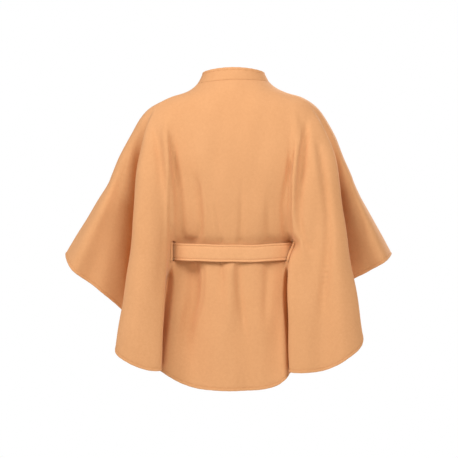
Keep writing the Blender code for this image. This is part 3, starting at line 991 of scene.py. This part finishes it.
def belt_route(steps):
    """The belt's middle line with its height, from its inner end to its outer end."""
    power = 2 / BELT_SQUARENESS
    end_turn = math.acos((BELT_END / BELT_HALF_WIDTH) ** (1 / power))
    start, finish = -math.pi + end_turn, math.pi * 2 - end_turn
    second_layer = BELT_CLOTH + BELT_CLEAR
    route = []
    for k in range(steps + 1):
        turn = start + (finish - start) * k / steps
        across = math.copysign(abs(math.cos(turn)) ** power, math.cos(turn))
        forward = math.copysign(abs(math.sin(turn)) ** power, math.sin(turn))
        climb = eased((math.degrees(turn) - BELT_CLIMB_FROM) / BELT_CLIMB_OVER)
        depth = BELT_BACK if forward > 0 else BELT_FRONT + second_layer * climb
        x, y = BELT_HALF_WIDTH * across, depth * forward
        waver = sum(size * math.sin(pace * x + phase) for size, pace, phase in BELT_WAVER)
        route.append((x, y, belt_height(x) + waver))
    return np.array(route)


def evenly_along(points, spacing):
    """Points at equal distances along a line, with whatever other columns each point has."""
    steps = np.linalg.norm(np.diff(points[:, :3], axis=0), axis=1)
    walked = np.concatenate([[0.0], np.cumsum(steps)])
    stops = np.arange(0, walked[-1], spacing)
    return np.stack([np.interp(stops, walked, column) for column in points.T], axis=1)


def tube_faces(rings, around, first=0):
    """The faces of a closed tube of rings with so many points each, from a first point on."""
    faces = []
    for ring in range(first, first + (rings - 1) * around, around):
        for k in range(around):
            following = (k + 1) % around
            a, b = ring + k, ring + following
            faces.append((a, b, b + around, a + around))
    last = first + (rings - 1) * around
    faces.append(tuple(range(first, first + around))[::-1])
    faces.append(tuple(range(last, last + around)))
    return faces


def belt_half_thickness(inward):
    """The belt's half thickness at a distance in from its edge: a round edge and a groove."""
    round_edge = math.sqrt(max(0.0, 1 - max(0.0, 1 - inward / (BELT_CLOTH / 2)) ** 2))
    groove = BELT_GROOVE_DEEP * bell(inward - BELT_STITCH_IN, BELT_GROOVE_WIDE)
    return BELT_CLOTH / 2 * round_edge - groove * (1 if inward > BELT_EDGE_ROUND else 0)


def level_outward(route):
    """The level direction out of the belt at each point of its route."""
    tangent = np.gradient(route, axis=0)
    out = np.stack([tangent[:, 1], -tangent[:, 0], np.zeros(len(route))], axis=1)
    return out / np.linalg.norm(out, axis=1, keepdims=True)


def make_belt():
    """The belt as a loft of one section along its route."""
    route = evenly_along(belt_route(ROUTE_STEPS), BELT_STEP)
    out = level_outward(route)
    half = BELT_WIDTH / 2
    inwards = [x * MM for x in BELT_EDGE_ROWS + BELT_FLAT_ROWS]
    ups = [half - x for x in inwards] + [x - half for x in reversed(inwards[:-1])]
    thick = [belt_half_thickness(x) for x in inwards]
    thick += thick[-2::-1]
    face = list(zip(ups, thick))
    section = face + [(up, -t) for up, t in reversed(face[1:-1])]
    rings = [route + np.array([0.0, 0.0, up]) + side * out for up, side in section]
    points = np.stack(rings, axis=1)
    faces = tube_faces(*points.shape[:2])
    return made_piece("belt_cloth", points.reshape(-1, 3), faces, BELT_LIT_WOOL), route, out


belt, BELT_LINE, BELT_OUT = make_belt()
BELT_LENGTH = float(np.linalg.norm(np.diff(BELT_LINE, axis=0), axis=1).sum())
print("belt", round(BELT_LENGTH, 3), "m long")

# %% [markdown]
# ## Slit edgings
#
# The photo shows a narrow folded edging on the outer lip of each slit. It is a
# strip of the same wool, laid on the lip and turned over its edge, with a dip
# where it is sewn down. It is a short tube like the belt, and its section is
# given as pairs of across and up in millimetres.

# %% Edging maker
EDGING_LIP = ((-0.4, 0.4), (-0.9, 1.1), (-0.4, 1.9), (0.9, 2.3), (2.4, 2.1))
EDGING_FLAT = ((3.6, 1.6), (5.0, 2.0), (6.4, 1.8), (7.0, 1.1), (6.4, 0.5))


def make_edging(facing, hand):
    """The narrow edging along the outer lip of one slit, on top of the cloth."""
    name = f"slit_edging_{'back' if facing > 0 else 'front'}_{'left' if hand > 0 else 'right'}"
    lip, tuck = COLUMN["slit_out", facing, hand], COLUMN["tuck", facing, hand]
    side = 1 if tuck > lip else -1
    rows = slice(ROW["slit_top"], ROW["slit_foot"] + 1)
    near, normal = NET[rows, lip], NORMALS[rows, lip]
    step = NET[rows, lip + side] - near
    step /= np.linalg.norm(step, axis=-1, keepdims=True)
    section = EDGING_LIP + EDGING_FLAT
    rings = [near + across * MM * step + up * MM * normal for across, up in section]
    points = np.stack(rings, axis=1)
    faces = tube_faces(*points.shape[:2])
    if side > 0:
        faces = [face[::-1] for face in faces]
    return made_piece(name + "_cloth", points.reshape(-1, 3), faces, CAPE_WOOL), name


EDGINGS = [make_edging(facing, hand) for facing in (1, -1) for hand in (1, -1)]
print(len(EDGINGS), "slit edgings")

# %% [markdown]
# ## Topstitching
#
# Each stitch is a short spindle of thread that lies in the groove and dips into
# the cloth at both ends. A texture could only paint the stitches, and single
# objects would be thousands, so a function walks along a line of the net at an
# even pace and lays all the stitches of one piece as one mesh. A ring of a
# stitch is its share of the length, its width and its height.

# %% Stitch maker
STITCH_PITCH, STITCH_LONG, STITCH_THICK = 0.0042, 0.0031, 0.00032
STITCH_END, STITCH_SWELL, STITCH_MIDDLE = (0.25, -0.5), (0.95, 0.2), (1.0, 0.45)
STITCH_RINGS = (
    (0.0, *STITCH_END),
    (0.2, *STITCH_SWELL),
    (0.5, *STITCH_MIDDLE),
    (0.8, *STITCH_SWELL),
    (1.0, *STITCH_END),
)
STITCH_SIDES = 5
STITCH_TURNS = [2 * math.pi * n / STITCH_SIDES for n in range(STITCH_SIDES)]


def stitches(name, runs):
    """One mesh of stitches along several runs, each a (line, outward directions) pair."""
    points, faces = [], []
    for line, outward in runs:
        both = evenly_along(np.concatenate([line, outward], axis=1), STITCH_PITCH)
        places_on, outs = both[:, :3], both[:, 3:]
        for k in range(len(both) - 1):
            step = places_on[k + 1] - places_on[k]
            step /= max(np.linalg.norm(step), SMALLEST)
            out = outs[k] / np.linalg.norm(outs[k])
            side = np.cross(step, out)
            faces += tube_faces(len(STITCH_RINGS), STITCH_SIDES, len(points))
            for share, width, height in STITCH_RINGS:
                middle = places_on[k] + share * STITCH_LONG * step + height * STITCH_THICK * out
                for turn in STITCH_TURNS:
                    round_it = math.cos(turn) * side + math.sin(turn) * out
                    points.append(middle + width * STITCH_THICK * round_it)
    return made_piece(name, np.array(points), faces, THREAD)


# %% [markdown]
# ## Where the stitches run
#
# The cape is topstitched along the hem and both front edges, round the collar
# and along both edges of the belt, on its outer and its inner face. The net has
# a row or a column at just that distance from each edge, in the groove, so a
# run is a slice of the net. The stitches are counted from an edge's end, and
# stop short of the seams.

# %% Stitch the hems, edges, collar and belt
HEM_STITCH_ROW = HEM - len(HEM_ROWS) + HEM_ROWS[::-1].index(STITCH_IN)
COLLAR_STITCH_ROW = COLLAR_ROWS.index(STITCH_IN) + 1
EDGE_STITCH_COLUMN = HEM_ROWS.index(STITCH_IN) + 1


def run_of(rows, columns):
    """A line of the outer skin with its normals, as a run for the stitch maker."""
    return OUTER[rows, columns].reshape(-1, 3), NORMALS[rows, columns].reshape(-1, 3)


def front_runs(columns, edge):
    """The hem's run between two columns, and the run down the front edge."""
    hem = run_of(HEM_STITCH_ROW, slice(*columns))
    return [hem, run_of(slice(NECK + 2, HEM_STITCH_ROW), edge)]


FROM_EDGE, TO_EDGE = EDGE_STITCH_COLUMN, LAST - EDGE_STITCH_COLUMN
back_runs = [run_of(HEM_STITCH_ROW, slice(LEFT_ARM + 1, RIGHT_ARM))]
back_stitches = stitches("back_stitching", back_runs)
left_runs = front_runs((FROM_EDGE, LEFT_ARM), FROM_EDGE)
left_stitches = stitches("front_left_stitching", left_runs)
right_runs = front_runs((RIGHT_ARM + 1, TO_EDGE), TO_EDGE)
right_stitches = stitches("front_right_stitching", right_runs)
collar_runs = [run_of(COLLAR_STITCH_ROW, slice(FROM_EDGE, TO_EDGE))]
collar_runs += [run_of(slice(COLLAR_STITCH_ROW, NECK - 2), edge) for edge in (FROM_EDGE, TO_EDGE)]
collar_stitches = stitches("collar_stitching", collar_runs)
groove = belt_half_thickness(BELT_STITCH_IN)
belt_runs = []
for up in (1, -1):
    for face in (1, -1):
        rise = np.array([0.0, 0.0, up * (BELT_WIDTH / 2 - BELT_STITCH_IN)])
        belt_runs.append((BELT_LINE + rise + face * groove * BELT_OUT, face * BELT_OUT))
belt_stitches = stitches("belt_stitching", belt_runs)
STITCHINGS = (back_stitches, left_stitches, right_stitches, collar_stitches, belt_stitches)
print("stitch faces:", sum(len(piece.data.polygons) for piece in STITCHINGS))

# %% [markdown]
# ## Place every piece in the frame
#
# Each cloth piece stands for its plain solid and rides on the one body. The
# flat sizes in the table are the panels' real lengths along the cloth, which are
# measured below, with the area that the skin has. An edging is folded round its
# lip, so its skin shows only a share of its cut.

# %% Ride and replace
BACK, SHOULDERS = ["back_cloth"], ["shoulders"]
belt_flat = (BELT_LENGTH, BELT_WIDTH, BELT_LENGTH * BELT_WIDTH)
SEWN = (
    (back, "back", back_stitches, "cape_wool", SHOULDERS, (1.74, 0.79, 0.66)),
    (front_left, "front_left", left_stitches, "cape_wool", BACK, (0.72, 0.72, 0.275)),
    (front_right, "front_right", right_stitches, "cape_wool", BACK, (0.72, 0.72, 0.275)),
    (collar, "collar", collar_stitches, "cape_wool", BACK, (0.50, 0.034, 0.0165)),
    (belt, "belt", belt_stitches, "belt_wool", BACK, belt_flat),
)
FOLDED_SHARE = 0.8
for piece, node, thread, slot, rests_on, (width, length, area) in SEWN:
    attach(piece, BODY)
    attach(thread, BODY)
    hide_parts(node)
    size = (width, length)
for piece, node in EDGINGS:
    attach(piece, BODY)
    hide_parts(node)
    area = FOLDED_SHARE * EDGING_CUT * SLIT_LENGTH
for first, last in ((LEFT_ARM, RIGHT_ARM), left_columns, right_columns):
    wide = (ACROSS_THE_CLOTH[NECK:, last] - ACROSS_THE_CLOTH[NECK:, first]).max()
    long = (DOWN_THE_CLOTH[HEM, first:last] - DOWN_THE_CLOTH[NECK, first:last]).max()
    print("a panel is", round(float(wide), 3), "by", round(float(long), 3), "m along the cloth")

# %% [markdown]
# ## The floor
#
# The photo has a plain white ground. A wide pale floor stands for it, so far
# below the cape that it sends light up into the folds and takes no hard shadow.

# %% Floor
FLOOR_Z = -1.45
FLOOR_HALF = 2.9
FLOOR_DARK, FLOOR_LIGHT = (0.94, 0.94, 0.94, 1), (0.97, 0.97, 0.97, 1)
FLOOR_ROUGHNESS, FLOOR_NOISE = 0.8, {"Scale": 3.0, "Detail": 2.0}


def make_floor():
    """A wide pale floor with a faint unevenness."""
    mesh = bpy.data.meshes.new("floor")
    shape = bmesh.new()
    bmesh.ops.create_grid(shape, x_segments=1, y_segments=1, size=FLOOR_HALF)
    shape.to_mesh(mesh)
    shape.free()
    material = bpy.data.materials.new("pale_floor")
    material.use_nodes = True
    shader = material.node_tree.nodes["Principled BSDF"]
    wire = Wire(material.node_tree)
    noise = wire.node("ShaderNodeTexNoise", {}, FLOOR_NOISE)
    colour = noise.between(FLOOR_DARK, FLOOR_LIGHT)
    material.node_tree.links.new(colour.socket, shader.inputs["Base Color"])
    shader.inputs["Roughness"].default_value = FLOOR_ROUGHNESS
    mesh.materials.append(material)
    floor = in_scene("floor", mesh)
    floor.location.z = FLOOR_Z


make_floor()
print("floor at", FLOOR_Z, "m")

# %% [markdown]
# ## Lamps and surroundings
#
# The photo's light is soft and comes from above, a little stronger from the
# left. Two square lamps behind the cape, left and right of the camera and above
# it, put shade into the folds and let the slots go dark. A third lights the
# fronts. The surroundings are white for the eye, but give only weak warm light:
# with more of it the folds turn grey and flat. Each lamp has a place, a size in
# metres and a power in watts.

# %% Lamps and surroundings
LAMPS = {
    "key": ((1.85, 1.45, 1.15), 1.2, 48.0),
    "fill": ((-0.95, 1.75, 1.1), 1.2, 36.0),
    "front": ((-1.6, -3.0, 1.1), 1.4, 100.0),
}
LAMP_TINT = (0.98, 1.0, 1.05)
LAMP_AIM = (0.0, 0.0, -0.36)
AMBIENT, SKY, WHITE = 0.29, (1.14, 1.0, 0.80, 1.0), (1.0, 1.0, 1.0, 1.0)


def make_lamp(name, place, size, power):
    """A square soft lamp that points at the middle of the cape."""
    lamp = bpy.data.lights.new(name, "AREA")
    lamp.size, lamp.energy, lamp.color = size, power, LAMP_TINT
    holder = in_scene(name, lamp)
    holder.location = place
    aim = Vector(LAMP_AIM) - Vector(place)
    holder.rotation_euler = aim.to_track_quat("-Z", "Y").to_euler()


def make_surroundings():
    """White surroundings for the eye, and a weak warm light from them."""
    world = bpy.data.worlds.new("white_room")
    world.use_nodes = True
    wire = Wire(world.node_tree)
    background = world.node_tree.nodes["Background"]
    seen = wire.node("ShaderNodeLightPath", {}, {}, output="Is Camera Ray")
    colour = seen.between(SKY, WHITE)
    world.node_tree.links.new(colour.socket, background.inputs["Color"])
    strength = AMBIENT + (1.0 - AMBIENT) * seen
    world.node_tree.links.new(strength.socket, background.inputs["Strength"])
    bpy.context.scene.world = world


for name, (place, size, power) in LAMPS.items():
    make_lamp(name, place, size, power)
make_surroundings()
print(len(LAMPS), "lamps")

# %% [markdown]
# ## The camera
#
# The photo shows the cape straight from behind. The camera stands 3.6 m behind
# it, level with its middle, which is far enough for the little perspective
# that the photo has. The lens follows from the width that the photo shows, at
# 2.5 mm for each of its pixels.

# %% Camera
CAMERA_AWAY = 3.6
CAMERA_PLACE = (0.0075, CAMERA_AWAY, -0.3575)
VIEW_WIDTH = 458 * 0.0025
SENSOR = 36.0


def make_camera():
    """A camera that sees the cape as the photo shows it."""
    data = bpy.data.cameras.new("camera")
    data.sensor_width = SENSOR
    data.lens = SENSOR * CAMERA_AWAY / VIEW_WIDTH
    camera = in_scene("camera", data)
    camera.location = CAMERA_PLACE
    camera.rotation_euler = (math.radians(90), 0, math.radians(180))
    bpy.context.scene.camera = camera
    return camera


camera = make_camera()
bpy.context.scene.view_settings.view_transform = "Standard"
print("lens", round(camera.data.lens, 1), "mm")
